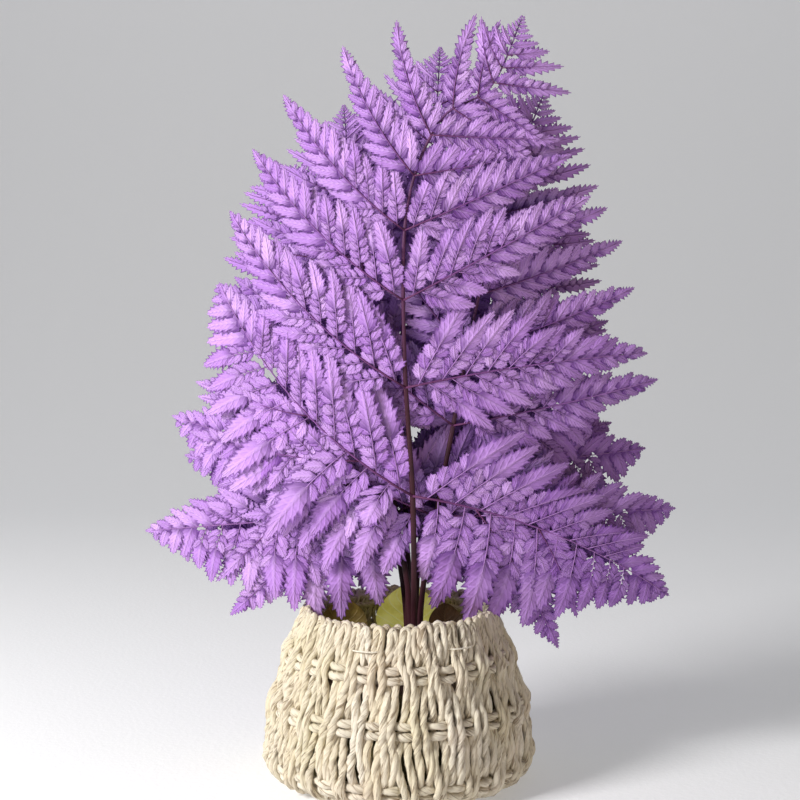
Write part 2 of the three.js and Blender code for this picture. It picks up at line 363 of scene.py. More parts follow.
# %% Shader values
class Value:
    """An output of a shader node that can be added, subtracted, multiplied and raised."""

    def __init__(self, finish, socket):
        self.finish = finish
        self.socket = socket

    def __add__(self, other):
        return self.finish.maths("ADD", self, other)

    def __sub__(self, other):
        return self.finish.maths("SUBTRACT", self, other)

    def __rsub__(self, other):
        return self.finish.maths("SUBTRACT", other, self)

    def __mul__(self, other):
        return self.finish.maths("MULTIPLY", self, other)

    def __pow__(self, other):
        return self.finish.maths("POWER", self, other)

    __radd__ = __add__
    __rmul__ = __mul__


# %% [markdown]
# The finish itself is a material with one Principled shader. Every node of any kind comes from one
# method. The short methods after it name the few nodes that the finishes here are made from.


# %% Finishes
class Finish:
    """A material with one Principled shader, whose constants are set on its own sockets."""

    def __init__(self, name, **constants):
        self.material = bpy.data.materials.new(name)
        self.material.use_nodes = True
        self.tree = self.material.node_tree
        self.tree.nodes.clear()
        self.shader = self.tree.nodes.new("ShaderNodeBsdfPrincipled")
        out = self.tree.nodes.new("ShaderNodeOutputMaterial")
        self.tree.links.new(self.shader.outputs[0], out.inputs[0])
        for socket, value in constants.items():
            self.shader.inputs[socket.replace("_", " ")].default_value = value

    def put(self, socket, value):
        if isinstance(value, Value):
            self.tree.links.new(value.socket, socket)
        else:
            socket.default_value = value

    def node(self, kind, settings, inputs, output=0):
        """Any node: its settings first, then its inputs by place or by name."""
        made = self.tree.nodes.new(kind)
        stops = settings.pop("stops", None)
        for name, value in settings.items():
            setattr(made, name, value)
        if stops:
            while len(made.color_ramp.elements) < len(stops):
                made.color_ramp.elements.new(1.0)
            for element, (place, colour) in zip(made.color_ramp.elements, stops):
                element.position = place
                element.color = colour
        pairs = inputs.items() if isinstance(inputs, dict) else enumerate(inputs)
        for key, value in pairs:
            self.put(made.inputs[key], value)
        return Value(self, made.outputs[output])

    def maths(self, operation, *values):
        return self.node("ShaderNodeMath", {"operation": operation}, values)

    def parts(self, vector):
        """The three numbers of a vector."""
        split = self.node("ShaderNodeSeparateXYZ", {}, [vector]).socket.node
        return [Value(self, socket) for socket in split.outputs]

    def shade(self):
        """The number that the piece carries on each point."""
        return self.node("ShaderNodeAttribute", {"attribute_name": "shade"}, {}, output=2)

    def uv(self):
        """The two numbers of the piece's own UV map."""
        return self.parts(self.node("ShaderNodeUVMap", {"uv_map": "UVMap"}, {}))[:2]

    def place(self):
        """Object coordinates."""
        return self.node("ShaderNodeTexCoord", {}, {}, output=3)

    def point(self, x, y, z):
        return self.node("ShaderNodeCombineXYZ", {}, [x, y, z])

    def noise(self, where, scale, detail=3.0, roughness=0.55):
        wanted = {"Vector": where, "Scale": scale, "Detail": detail, "Roughness": roughness}
        return self.node("ShaderNodeTexNoise", {}, wanted)

    def step(self, value, low, high):
        """A smooth step from 0 at low to 1 at high."""
        wanted = [value, float(low), float(high), 0.0, 1.0]
        return self.node("ShaderNodeMapRange", {"interpolation_type": "SMOOTHSTEP"}, wanted)

    def blend(self, amount, first, second):
        """The first colour at 0 and the second at 1."""
        wanted = {0: amount, 6: first, 7: second}
        return self.node("ShaderNodeMix", {"data_type": "RGBA"}, wanted, output=2)

    def ramp(self, value, stops):
        """Colours at given places between 0 and 1, blended in between."""
        return self.node("ShaderNodeValToRGB", {"stops": stops}, [value])

    def finish(self, colour, roughness, height, depth):
        """Connect colour and roughness, and a height through a Bump node of a given depth."""
        self.put(self.shader.inputs["Base Color"], colour)
        self.put(self.shader.inputs["Roughness"], roughness)
        wanted = {"Strength": 1.0, "Distance": depth, "Height": height}
        self.put(self.shader.inputs["Normal"], self.node("ShaderNodeBump", {}, wanted))
        print(f"{self.material.name}: {len(self.tree.nodes)} nodes")
        return self.material


# %% [markdown]
# Colours are easiest to judge as a screen shows them, and a shader works in linear light.


# %% Colours
def colour(red, green, blue):
    """A screen colour from 0 to 255 as the linear colour that a shader works in."""
    share = np.array([red, green, blue]) / 255
    linear = np.where(share <= 0.04045, share / 12.92, ((share + 0.055) / 1.055) ** 2.4)
    return (*linear.tolist(), 1.0)


print("a screen grey of 128 is", round(colour(128, 128, 128)[0], 3), "in linear light")

# %% [markdown]
# ## The lilac leaf
#
# Dyed, dried fern is matte and leathery. The dye takes unevenly, so no two leaflets have quite the
# same tint. A leaflet is painted darker at its foot and along its edge, which is painted shade in
# the gaps between leaflets, and paler at its tip, which is a painted highlight. Its veins stand up
# as fine ridges that slant from the midrib to the teeth. The low leaves on the right are painted
# darker, as painted shade on the side away from the window.


# %% Leaf finish
def lilac_leaf():
    """Layers of colour from the broadest to the finest, each blended over the one before: the dye's
    tones, and painted light and shade.
    """
    leaf = Finish("lilac_leaf", Specular_IOR_Level=0.25, Sheen_Weight=0.04, Sheen_Roughness=0.4)
    across, along = leaf.uv()
    tint = leaf.shade()
    off_rib = leaf.maths("ABSOLUTE", across - 0.5) * 2.0
    slant = along * 6.8 - off_rib * 2.0
    vein = (leaf.maths("SINE", slant * turn) * 0.5 + 0.5) ** 5.0
    rib = 1.0 - leaf.step(off_rib, 0.04, 0.2)
    to_right, _, upwards = leaf.parts(leaf.place())
    # painted shade: the leaves low on the right, away from the window, are darkened
    painted_shade_low_right = leaf.step(to_right - upwards * 0.45, -0.08, 0.08)
    mottle = leaf.noise(leaf.place(), 240.0, 4.0, 0.6)
    cloud = leaf.noise(leaf.place(), 22.0, 2.0, 0.5)

    body = leaf.blend(tint, colour(158, 106, 194), colour(216, 174, 240))
    body = leaf.blend(leaf.step(cloud, 0.35, 0.7) * 0.5, body, colour(180, 124, 216))
    # painted shade at the foot of each leaflet, where the leaflets overlap
    body = leaf.blend((1.0 - leaf.step(along, 0.0, 0.35)) * 0.82, body, colour(78, 28, 112))
    # painted highlight towards the tip
    body = leaf.blend(leaf.step(along, 0.6, 1.0) * 0.22, body, colour(222, 182, 240))
    body = leaf.blend(leaf.step(mottle, 0.5, 0.8) * 0.25, body, colour(146, 92, 180))
    # painted shade along the edge, the dark outline of the gaps between leaflets
    body = leaf.blend(leaf.step(off_rib, 0.66, 0.94) * 0.74, body, colour(82, 30, 116))
    body = leaf.blend(rib * 0.17 + vein * 0.07, body, colour(224, 188, 240))
    # painted shade on the low right leaves
    body = leaf.blend(painted_shade_low_right * 0.5, body, colour(104, 56, 142))

    rough = 0.56 + mottle * 0.2
    height = rib * 0.4 + vein * 0.22 + mottle * 0.4
    return leaf.finish(body, rough, height, 0.8 * mm)


def leaf_rib():
    """A rib that is maroon where it leaves the stem and lilac towards its tip."""
    rib = Finish("leaf_rib", Specular_IOR_Level=0.25)
    grain = rib.noise(rib.place(), 500.0, 3.0)
    stops = [(0.0, colour(96, 46, 84)), (0.22, colour(134, 84, 152)), (1.0, colour(206, 162, 228))]
    body = rib.ramp(rib.shade(), stops)
    body = rib.blend(rib.step(grain, 0.45, 0.75) * 0.35, body, colour(82, 44, 88))
    return rib.finish(body, 0.46 + grain * 0.15, grain, 0.2 * mm)


leaf_finish = lilac_leaf()
rib_finish = leaf_rib()

# %% [markdown]
# ## The pages of the bunch
#
# The fronds stand one behind the other like the pages of a book that is opened like a fan. A frond
# is first laid out flat, with x across and z up, and then lifted on its page, a gently curved
# sheet. A lift moves a point off its page towards the front, so shingled leaflets keep clear of
# each other.

# %% Pages
rim_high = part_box("rim_border")[1]
foam_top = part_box("foam_block")[1].z
rim_top = rim_high.z
fern_height = 410 * mm
half_spread = 192 * mm
stem_pitch = 7 * mm
page_opening = 0.045
arch_depth = 34 * mm
wrap_depth = 25 * mm


def page_depth(page, x, z):
    """How far back a page is: its number times a pitch that opens with height, plus an arch that
    grows with the square of the height and a wrap that grows with the square of x."""
    rise = np.maximum(0, z - rim_top)
    arch = arch_depth * (rise / fern_height) ** 2
    wrap = wrap_depth * (x / half_spread) ** 2
    return page * (stem_pitch + page_opening * rise) + arch + wrap


def lifted(page, x, z, lift):
    """Points of a page's drawing in space, brought forward by their lift."""
    return np.stack([x, page_depth(page, x, z) - lift, z], axis=-1)


depths = [round(float(page_depth(page, 0, rim_top + fern_height)), 3) for page in (-3, 3)]
print("the front and the back page lie at these depths at the tip:", depths)

# %% [markdown]
# ## Seven stems
#
# A table holds what differs from frond to frond. A stem is given as shares of the half spread and
# of the fern's height. The pinnae on a side leave the stem at the angle `low` at the collar and
# `high` further up, and bend on their way out. `crown` shortens the topmost pinnae, `lowest`
# lengthens the lowest one, and `trim` shortens what hangs from the lowest one next to the stem.
# On one frond a single pinnule dangles near the tip of the lowest left pinna, where `dangling`
# says.

# %% The fronds
usual_trim = 0.08
fronds = [
    dict(
        page=-3,
        stem=[
            (0.056, 0), (0.05, 0.205), (0.02, 0.45), (0.03, 0.68), (0.145, 0.82),
            (0.32, 0.875), (0.44, 1),
        ],
        left=dict(low=58, high=58, low_bend=-36, high_bend=-25, crown=1.0, trim=0.95),
        right=dict(low=100, high=64, low_bend=28, high_bend=-4, crown=0.3, trim=0.62),
    ),
    dict(
        page=-2,
        stem=[
            (0.08, 0), (0.135, 0.166), (0.21, 0.356), (0.29, 0.546), (0.395, 0.725),
            (0.53, 0.89),
        ],
        left=dict(low=75, high=55, low_bend=-10, high_bend=-15, crown=0.6, trim=0.6),
        right=dict(low=80, high=62, low_bend=0, high_bend=-8, crown=0.8, trim=0.62),
    ),
    dict(
        page=-1,
        stem=[
            (0.042, 0), (-0.01, 0.17), (-0.05, 0.356), (-0.115, 0.546), (-0.17, 0.713),
            (-0.2, 0.87),
        ],
        left=dict(low=86, high=66, low_bend=4, high_bend=-14, crown=0.5, lowest=1.11, trim=0.36),
        right=dict(low=70, high=55, low_bend=-5, high_bend=-10, crown=0.5, trim=0.62),
    ),
    dict(
        page=0,
        stem=[
            (0.036, 0), (0.026, 0.225), (0.06, 0.44), (0.105, 0.653), (0.135, 0.82),
            (0.156, 0.98),
        ],
        left=dict(low=80, high=58, low_bend=-6, high_bend=-16, crown=0.6),
        right=dict(low=82, high=60, low_bend=2, high_bend=-10, crown=0.5),
    ),
    dict(
        page=1,
        stem=[
            (0.026, 0), (-0.05, 0.19), (-0.145, 0.356), (-0.26, 0.52), (-0.375, 0.665),
            (-0.475, 0.786),
        ],
        left=dict(low=80, high=60, low_bend=0, high_bend=-12, crown=0.5, dangling=0.985),
        right=dict(low=75, high=55, low_bend=-5, high_bend=-12, crown=0.5),
    ),
    dict(
        page=2,
        stem=[
            (0.065, 0), (0.105, 0.178), (0.23, 0.333), (0.385, 0.475), (0.54, 0.6),
            (0.68, 0.708),
        ],
        left=dict(low=75, high=55, low_bend=-5, high_bend=-10, crown=0.5),
        right=dict(low=78, high=60, low_bend=5, high_bend=-10, crown=0.5),
    ),
    dict(
        page=3,
        stem=[
            (0.047, 0), (0.01, 0.214), (-0.01, 0.43), (-0.03, 0.62), (-0.04, 0.77),
            (-0.052, 0.915),
        ],
        left=dict(low=80, high=60, low_bend=0, high_bend=-12, crown=0.5),
        right=dict(low=80, high=60, low_bend=0, high_bend=-12, crown=0.5),
    ),
]
print("fronds from the front page to the back one:", len(fronds))

# %% [markdown]
# ## The line of a stem
#
# A stem stands in the foam, rises straight above its hole and then leans into its page. Its leaves
# begin at the collar, the third place on its line.

# %% Stem lines
stem_radius = 2.1 * mm
stem_depth_in_foam = 50 * mm
collar_knot = 2


def stem_path(frond):
    """The stem in its page, from its foot in the foam to its tip, with its length and the share
    of its length at which its leaves begin."""
    stem = frond["stem"]
    places = [(across * half_spread, rim_top + rise * fern_height) for across, rise in stem]
    places = [(places[0][0], foam_top - stem_depth_in_foam)] + places
    path = smooth_path(places)
    run = distance_along(path)
    knot = collar_knot / (len(places) - 1) * (len(path) - 1)
    return even_steps(path, path_points), run[-1], run[round(knot)] / run[-1]


print("stem lengths in metres:", [round(float(stem_path(frond)[1]), 3) for frond in fronds])

# %% [markdown]
# ## Twigs on twigs
#
# The stem, the pinna, the pinnule and the leaflet branch in the same way, so one rule serves them
# all: a twig is an arc that starts somewhere on its parent, at an angle to it. An arc has an exact
# short formula, so the twigs of a whole frond are placed at once, as arrays.


# %% Arcs and their branches
def arc_point(twig, share):
    """A point at a share of an arc: the chord has the length of the arc times sin(b/2)/(b/2) and
    lies halfway between the headings at its ends. Gives x, z, lift and heading."""
    bend = twig["bend"] * share
    chord = twig["length"] * share * np.sinc(bend / turn)
    middle = twig["heading"] + bend / 2
    x = twig["x"] + chord * np.sin(middle)
    z = twig["z"] + chord * np.cos(middle)
    rise = twig["slope"] * twig["length"] * share
    lift = twig["lift"] + rise - twig["droop"] * twig["length"] * share**2
    return x, z, lift, twig["heading"] + bend


def arcs(**facts):
    """Twigs as a dictionary of equally long arrays: where each starts, its heading, bend and
    length, how its lift changes, its side, and the half width that it has room for."""
    values = np.broadcast_arrays(*facts.values())
    return {name: np.array(value, float).ravel() for name, value in zip(facts, values)}


def chosen(twigs, mask):
    """The twigs for which the mask is true."""
    return {name: value[np.ravel(mask)] for name, value in twigs.items()}


def together(*groups):
    """Several groups of twigs as one."""
    return {name: np.concatenate([group[name] for group in groups]) for name in groups[0]}


def column(twigs):
    """The twigs as a column, ready to be combined with a row of shares."""
    return {name: value[:, None] for name, value in twigs.items()}


def jitter(like, amount):
    """Random numbers with a spread of `amount`, as many as in the array given."""
    return chance.normal(0, amount, np.shape(like))


quarter = arcs(x=0, z=0, lift=0, heading=0, bend=turn / 4, length=1, slope=0, droop=0)
end_x, end_z = (round(float(value[0]), 3) for value in arc_point(quarter, 1)[:2])
print("a metre bent by a right angle ends at x, z:", end_x, end_z)

# %% [markdown]
# ## Pinnae on a stem
#
# Pinnae shorten and crowd towards the tip of a frond. The lowest one on each side is the longest,
# and two long twigs on its lower side are the mark of a leatherleaf.

# %% Pinnae
pinna_pairs = 18
pinna_step = 0.79
pinna_reach = 0.56
pinna_room = 0.58
tip_share = 0.13
crown_from = 0.5
habit_settles = 0.37
hanging_pinnules = ((0.22, 0.6), (0.45, 0.36))
hanging_angle = np.radians(38)


def pinnae_of(frond, path, length, collar):
    """Pinnae at u = 1 - 0.79^i of the blade, with a length that falls off as (1 - u)^0.68, and
    faster over the last eighth, which leaves a narrow tip."""
    blade_length = length * (1 - collar)
    left = pinna_step ** np.arange(pinna_pairs)
    u = 1 - left
    share = collar + (1 - collar) * u
    knots = np.linspace(0, 1, len(path))
    x, z = (np.interp(share, knots, path[:, k]) for k in range(2))
    slope = np.gradient(path, axis=0)
    heading = np.interp(share, knots, np.unwrap(np.arctan2(slope[:, 0], slope[:, 1])))
    upward = np.minimum(1, u / habit_settles)
    reach = pinna_reach * blade_length * left**0.68 * np.minimum(1, left / tip_share) ** 0.9
    groups = []
    for side, habit in ((-1, frond["left"]), (1, frond["right"])):
        angle = np.radians(habit["low"] + (habit["high"] - habit["low"]) * upward)
        bend = habit["low_bend"] + (habit["high_bend"] - habit["low_bend"]) * upward
        crown = 0.3 * habit["crown"] * np.maximum(0, u - crown_from) / (1 - crown_from)
        pinna = arcs(
            x=x,
            z=z,
            lift=1.6 * mm,
            heading=heading + side * angle + jitter(u, 0.02),
            bend=side * np.radians(bend),
            length=reach * (1 - crown) * np.where(u == 0, habit.get("lowest", 1.0), 1.0),
            slope=0.05 + jitter(u, 0.03),
            droop=0.07,
            side=side,
            room=pinna_room * blade_length * left * (1 - pinna_step) * np.sin(angle),
            basal=(u == 0) * 1.0,
            trim=habit.get("trim", usual_trim),
        )
        lowest = {name: value[:1] for name, value in pinna.items()}
        for place, part in hanging_pinnules:
            px, pz, lift, way = arc_point(lowest, place)
            hanging = dict(lowest, x=px, z=pz, lift=lift, heading=way + side * hanging_angle)
            hanging.update(bend=lowest["bend"] * 0.5, length=lowest["length"] * part)
            hanging.update(slope=-0.03, basal=0.5)
            groups.append(arcs(**hanging))
        groups.append(pinna)
    return together(*groups)


lowest_five = [round(1 - pinna_step**i, 2) for i in range(5)]
print("the lowest five pairs of pinnae stand at these shares of the blade:", lowest_five)

# %% [markdown]
# ## Pinnules on pinnae
#
# A long pinna spaces its pinnules widely, and all pinnae crowd them towards the tip. Those on the
# upper side are longer and lean forward, those on the lower side lie behind. On the lowest pinnae
# the lower ones hang, and the first ones are short.

# %% Pinnules
most_pinnules = 16
shortest_pinnule = 6 * mm
widest_pinnule = 12 * mm
long_pinna = 0.2
first_pinnule = 0.05
# whether on the upper side, and then the share of the longest length, degrees of lean, and slope
pinnule_sides = ((True, 1.0, 50, 0.09), (False, 0.82, 46, -0.05))


def pinnule_share(length):
    """The length of the longest pinnule of a pinna as a share of the pinna's own length."""
    return np.maximum(0.26, 0.44 * (length / long_pinna) ** 0.45)


def pinnules_of(pinnae):
    """n = 15 (L / 0.2)^0.3 pairs of pinnules on a pinna of length L, at
    v = 0.05 + 0.95 (1 - (1 - k / n)^p) with p = 1.2 + 0.35 L / 0.2."""
    parent = column(pinnae)
    relative = parent["length"] / long_pinna
    pairs = 15 * relative**0.3
    crowding = 1.2 + 0.35 * relative
    ahead = np.clip(1 - np.arange(most_pinnules)[None, :] / pairs, 0.001, 1)
    spread = 1 - first_pinnule
    v = first_pinnule + spread * (1 - ahead**crowding)
    gap = spread * parent["length"] * crowding / pairs * ahead ** (crowding - 1)
    groups = []
    for upper, part, angle, tilt in pinnule_sides:
        share = part * pinnule_share(parent["length"])
        # staggered a little, as the pinnules of a frond are
        here = v if upper else np.minimum(v + 0.4 * gap / parent["length"], 0.99)
        hang = 0.0 if upper else parent["basal"]
        x, z, lift, heading = arc_point(parent, here)
        turned = -parent["side"] if upper else parent["side"]
        length = (share + 0.2 * hang) * parent["length"] * (1 - here) ** 0.8
        cut = parent["trim"] * hang * np.clip(1 - here / 0.28, 0, 1)
        length = length * (1 + jitter(length, 0.05)) * (1 - cut)
        lean = np.radians(angle - 13 * here * (1 - hang) + hang * (14 + 28 * (1 - here) ** 2))
        group = arcs(
            x=x,
            z=z,
            lift=lift,
            heading=heading + turned * lean + jitter(length, 0.045),
            bend=turned * np.radians(30 * hang - 10) + jitter(length, 0.09),
            length=length,
            slope=tilt + jitter(length, 0.05),
            droop=0.12,
            side=turned,
            room=np.minimum(0.66 * gap * np.sin(lean), widest_pinnule),
            basal=hang,
        )
        groups.append(chosen(group, (length > shortest_pinnule) & (ahead > 0.01)))
    return together(*groups)


for length in (0.05, 0.2):
    print(f"longest pinnule on a pinna of {length} m:", round(length * pinnule_share(length), 3))

# %% [markdown]
# ## One that dangles
#
# A dried frond has parts that have bent at the foot and hang loose. One pinnule does so here, near
# the tip of a low pinna on the left.

# %% The dangling pinnule
dangling_length = 38 * mm
dangling_half_width = 5.5 * mm


def dangling_pinnule(pinnae, place):
    """One pinnule near the tip of the lowest left pinna that has bent and hangs straight down."""
    parent = chosen(pinnae, (pinnae["basal"] == 1) & (pinnae["side"] < 0))
    x, z, lift, _ = arc_point(parent, place)
    hanging = dict(parent, x=x, z=z, lift=lift, heading=np.radians(-172), bend=np.radians(-14))
    hanging.update(length=dangling_length, room=dangling_half_width)
    hanging.update(slope=0.02, droop=0.0, basal=0.0)
    return arcs(**hanging)


print("the dangling pinnule is", dangling_length, "m long")

# %% [markdown]
# ## Leaflets on pinnules
#
# A long pinnule is cut to its midrib near its foot, so it carries a few pairs of separate leaflets
# there, lying like shingles. Beyond them it is one lobed blade.

# %% Leaflets
leaflet_pairs = 4
leaflet_foot = 0.05
leaflet_spacing = 0.11
leaflet_angle = np.radians(46)


def leaflets_of(pinnules):
    """Leaflets at w = 0.05 + 0.11 k of each pinnule, so long that they reach as far out as the
    pinnule is wide, and shortening by 0.3 over its length."""
    w = leaflet_foot + leaflet_spacing * np.arange(leaflet_pairs)[None, :]
    parent = column(pinnules)
    groups = []
    for side in (-1, 1):
        here = w + (0.4 * leaflet_spacing if side > 0 else 0)
        x, z, lift, heading = arc_point(parent, here)
        length = parent["room"] * (1.08 - 0.3 * here) / np.sin(leaflet_angle)
        length = length * (1 + jitter(length, 0.06))
        leaflet = arcs(
            x=x,
            z=z,
            lift=lift,
            heading=heading + side * (leaflet_angle + jitter(length, 0.06)),
            bend=-side * np.radians(20) + jitter(length, 0.10),
            length=length,
            slope=-0.03 + jitter(length, 0.05),
            droop=0.08,
            side=side,
            room=0.62 * leaflet_spacing * parent["length"],
            basal=0.0,
        )
        groups.append(leaflet)
    return together(*groups)


print("separate leaflets on a long pinnule:", 2 * leaflet_pairs)

# %% [markdown]
# ## A saw edge
#
# A leaflet is an oval sheet with a saw edge, and there are thousands of them, so a few dozen faces
# have to do for one. The rows come in pairs, one at the tip of a tooth and one in the notch behind
# it. The end of a long pinnule is cut deeper, into lobes that have a small tooth of their own.

# %% Teeth and lobes
# where a tooth's points lie in its pitch, how deep each is cut (0 tip, 1 notch), and how far it
# hooks forward
plain_tooth = ((0.55, 0.0, 0.32), (0.92, 1.0, 0.0))
lobe = ((0.22, 0.55, 0.10), (0.36, 0.75, 0.0), (0.70, 0.0, 0.34), (0.96, 1.0, 0.0))
first_tooth = 0.06
toothed_share = 0.88


def tooth_rows(teeth, notch, tooth):
    """Shares of the length at which the outline has a row, how far the edge reaches there (1 at
    the tip of a tooth, 1 - notch at its foot), and how far the edge hooks forward."""
    pitch = toothed_share / teeth
    place, cut, hook = np.array(tooth).T
    rows = (first_tooth + pitch * (np.arange(teeth)[:, None] + place)).ravel()
    reach = np.tile(1.0 - notch * cut, teeth)
    ahead = np.tile(pitch * hook, teeth)
    return (
        np.concatenate([[0.0], rows, [1.0]]),
        np.concatenate([[1.0], reach, [1.0]]),
        np.concatenate([[0.0], ahead, [0.0]]),
    )


print("rows of a leaflet with two teeth:", tooth_rows(2, 0.3, plain_tooth)[0].round(2))

# %% [markdown]
# ## One toothed leaflet, thousands of times
#
# The sheet folds a little along its midrib, arches towards its tip and rolls to one side, so that
# each leaflet catches the light differently and lies over its neighbour like a shingle.

# %% Leaflet sheets
forward_sweep = 0.45
edge_wave = 0.08
tooth_pucker = 0.22
across_sheet = np.array([1.0, 0.55, 0.0, -0.55, -1.0])
on_edge = np.abs(across_sheet) == 1


def leaf_sheets(
    page, twigs, half_width, teeth, notch,
    widest=0.72, roundness=0.8, fold=0.14, roll=0.08, tooth=plain_tooth, foot=0.0,
):
    """Sheets of 5 points across. The outline lies at half_width x sin(pi t^widest)^roundness x
    reach, but not under half_width x foot x (1 - t). The lift is that of the twig, less a fold
    that grows towards both edges, plus a roll from one edge to the other."""
    rows, reach, hook = tooth_rows(teeth, notch, tooth)
    t = rows[None, :]
    parent = column(twigs)
    x, z, lift, heading = arc_point(parent, t)
    swell = np.sin(np.pi * np.minimum(t, 0.999) ** widest) ** roundness
    half = half_width[:, None] * np.maximum(np.maximum(swell, 0.03), foot * (1 - t))
    edge = np.where(on_edge, reach[:, None], 1.0)
    # teeth point forward, so the edge is drawn ahead of the midrib
    ahead = forward_sweep * half * np.sin(np.pi * t)
    hooked = on_edge * (parent["length"] * hook)[:, :, None]
    half = half[:, :, None]
    offset = half * across_sheet * edge
    push = ahead[:, :, None] * across_sheet**2 + hooked
    right, forward = np.cos(heading)[:, :, None], np.sin(heading)[:, :, None]
    px = x[:, :, None] + right * offset + forward * push
    pz = z[:, :, None] - forward * offset + right * push
    lean = roll * parent["side"] + jitter(parent["length"], 0.7 * roll)
    crease = fold + np.abs(jitter(parent["length"], 0.5 * fold))
    start = chance.uniform(0, turn, (len(lean), 1, 1))
    wave = edge_wave * half * np.sin(1.5 * turn * t[:, :, None] + start)
    folded = crease[:, :, None] * np.abs(offset) * np.abs(across_sheet)
    bow = lean[:, :, None] * offset - folded + wave * across_sheet
    # the tips of the teeth come forward and the notches sink back
    pucker = tooth_pucker * half * on_edge * (reach - 1 + notch / 2)[:, None]
    points = lifted(page, px, pz, lift[:, :, None] + bow + pucker)
    uv = np.stack(np.broadcast_arrays((across_sheet + 1) / 2, rows[:, None]), axis=-1)
    # those that lift towards the front are painted a little paler and those that sink back a little
    # darker: painted light and shade between the front and back tiers
    painted_tier_light = 0.12 * np.sign(parent["slope"])[:, :, None]
    tint = np.clip(chance.normal(0.5, 0.17, (len(lean), 1, 1)) + painted_tier_light, 0, 1)
    return patch(points, uv, tint)


leaflet_rows = len(tooth_rows(4, 0.26, plain_tooth)[0])
print("a leaflet with four teeth has", (leaflet_rows - 1) * (len(across_sheet) - 1), "quads")


# %% [markdown]
# ## Ribs
#
# The twigs that carry the sheets show as thin dark lines in front of them. Each is a tube with
# four sides, which is enough at half a millimetre.


# %% Rib tubes
def rib_tubes(page, twigs, radius, rows, shade):
    """Ribs just in front of the sheets, tapering to a third of their radius."""
    t = np.linspace(0, 0.97, rows)[None, :]
    x, z, lift, _ = arc_point(column(twigs), t)
    paths = lifted(page, x, z, lift + 0.15 * mm)
    radii = radius[:, None] * (1 - 0.7 * t)
    shades = shade * np.ones_like(radii) + 0.5 * t
    return tubes(paths, radii, to_viewer, round_section(4), shade=shades, finish=1)


# %% [markdown]
# ## Where a twig goes on as a leaf
#
# A long pinnule goes on as a lobed blade beyond its leaflets, and each pinna ends in a pointed leaf
# beyond its last pinnule. Both are the rest of a twig, taken as a twig of its own.


# %% Ends of twigs
def rest_of(twigs, start, stretch=1.0):
    """What is left of twigs beyond a share of their length, as twigs of their own."""
    x, z, lift, heading = arc_point(twigs, start)
    left = 1 - start
    rest = dict(twigs, x=x, z=z, lift=lift, heading=heading, slope=0.0, droop=0.12)
    rest.update(bend=twigs["bend"] * left, length=twigs["length"] * left * stretch)
    return arcs(**rest)


def pinna_ends(pinnae):
    """The end of each pinna, from where its pinnules would be shorter than the shortest."""
    longest = pinnule_share(pinnae["length"]) * pinnae["length"]
    bare = (shortest_pinnule * 1.5 / longest) ** 1.25
    return rest_of(pinnae, 1 - np.clip(bare, 0.08, 0.8), 1.05)


# %% [markdown]
# ## Growing the seven blades
#
# Now the parts come together. A short pinna is one toothed leaf. A long one carries pinnules, and
# the long pinnules carry leaflets.

# %% Blades
simple_below = 26 * mm
compound_from = 30 * mm
blade_from = 0.40


def grow_blade(number, frond):
    """A frond's blade: leaflets, the pointed ends of its pinnules and pinnae, and their ribs."""
    page = frond["page"]
    path, length, collar = stem_path(frond)
    every_pinna = pinnae_of(frond, path, length, collar)
    short = every_pinna["length"] < simple_below
    pinnae, simple = chosen(every_pinna, ~short), chosen(every_pinna, short)
    pinnules = pinnules_of(pinnae)
    if "dangling" in frond["left"]:
        pinnules = together(pinnules, dangling_pinnule(pinnae, frond["left"]["dangling"]))
    compound = pinnules["length"] > compound_from
    long_ones, short_ones = chosen(pinnules, compound), chosen(pinnules, ~compound)
    leaflets = leaflets_of(long_ones)
    blades = rest_of(long_ones, blade_from)
    ends = pinna_ends(pinnae)

    short_half = np.minimum(short_ones["room"] * 1.15, 0.36 * short_ones["length"])
    end_half = np.minimum(0.28 * ends["length"], 6.4 * mm)
    simple_half = 0.17 * simple["length"] + 0.6 * mm
    simple_rib = np.full(len(simple["x"]), 0.22 * mm)
    patches = [
        leaf_sheets(
            page, leaflets, leaflets["room"] * 1.05, teeth=4, notch=0.26,
            widest=0.85, roundness=0.62, fold=0.11, roll=0.10,
        ),
        leaf_sheets(
            page, blades, blades["room"] * 1.12, teeth=6, notch=0.38,
            widest=0.42, roundness=0.7, fold=0.10, roll=0.06, tooth=lobe,
        ),
        leaf_sheets(
            page, short_ones, short_half, teeth=5, notch=0.34,
            widest=0.58, roundness=0.72, fold=0.08, roll=0.08, foot=0.85,
        ),
        leaf_sheets(page, ends, end_half, teeth=6, notch=0.5, widest=0.42),
        leaf_sheets(page, simple, simple_half, teeth=6, notch=0.46, widest=0.6),
        rib_tubes(page, pinnae, 0.25 * mm + 0.0032 * pinnae["length"], rows=14, shade=0.0),
        rib_tubes(page, simple, simple_rib, rows=5, shade=0.5),
        rib_tubes(page, long_ones, 0.2 * mm + 0.003 * long_ones["length"], rows=7, shade=0.45),
    ]
    finishes = [leaf_finish, rib_finish]
    build_for(f"frond_{number}_blade", f"fern_blade_{number}", patches, finishes)
    counts = [len(twigs["x"]) for twigs in (pinnae, pinnules, leaflets)]
    print("  {} pinnae, {} pinnules, {} leaflets".format(*counts))


for number, frond in enumerate(fronds, start=1):
    grow_blade(number, frond)

# %% [markdown]
# ## Stem finish
#
# A dried fern stem is a dark maroon stalk. It keeps a dull shine, and turns to the colour of the
# leaves as it thins towards the tip.


